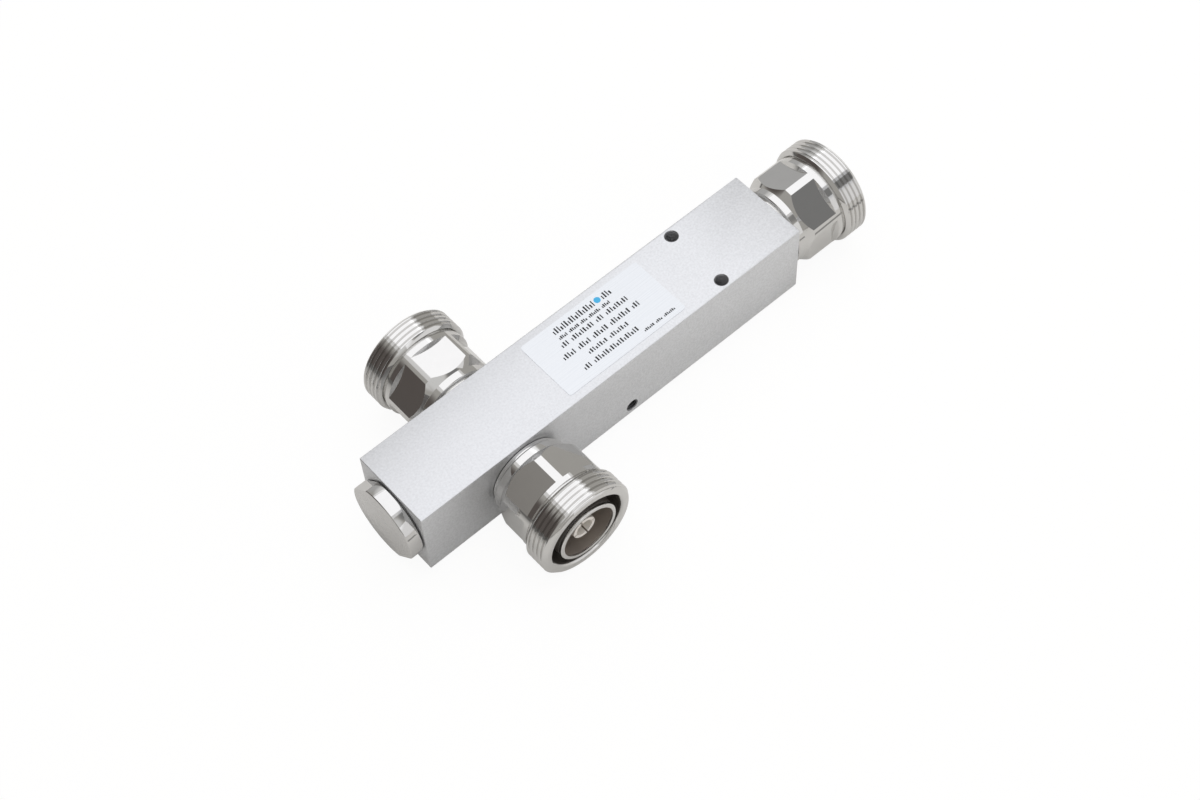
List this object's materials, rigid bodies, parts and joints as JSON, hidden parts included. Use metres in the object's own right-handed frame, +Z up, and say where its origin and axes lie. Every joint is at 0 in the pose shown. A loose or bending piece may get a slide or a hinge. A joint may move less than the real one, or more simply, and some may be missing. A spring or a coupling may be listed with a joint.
{
  "type": "rf power splitter",
  "caption": "Two-way coaxial power splitter: square aluminium bar with an input jack on one end, a pair of opposed output jacks near the other, and a screw-in end cap.",
  "frame": {"origin": "under the middle of the whole splitter, at the height it rests on", "axes": "+X along the bar from the end cap to the input jack, +Y to the left output jack, +Z up"},
  "size_m": [0.1578, 0.0738, 0.029],
  "materials": {
    "anodised_aluminium": "bead blasted, clear anodised",
    "plated_brass": "bright white-bronze plate",
    "silver_plate": "silver plated",
    "ptfe": "white turned PTFE",
    "black_rubber": "moulded rubber",
    "foil_label": "brushed silver foil"
  },
  "bodies": {
    "root": {"bar": "anodised_aluminium", "end_cap": "plated_brass", "cap_seal": "black_rubber", "transformer_rod": "silver_plate", "label": "foil_label", "input_shell": "plated_brass", "input_gasket": "black_rubber", "input_bead": "ptfe", "input_bush": "plated_brass", "input_contact": "silver_plate", "left_shell": "plated_brass", "left_gasket": "black_rubber", "left_bead": "ptfe", "left_bush": "plated_brass", "left_contact": "silver_plate", "right_shell": "plated_brass", "right_gasket": "black_rubber", "right_bead": "ptfe", "right_bush": "plated_brass", "right_contact": "silver_plate", "left_stub": "silver_plate", "right_stub": "silver_plate"}
  },
  "joints": []
}
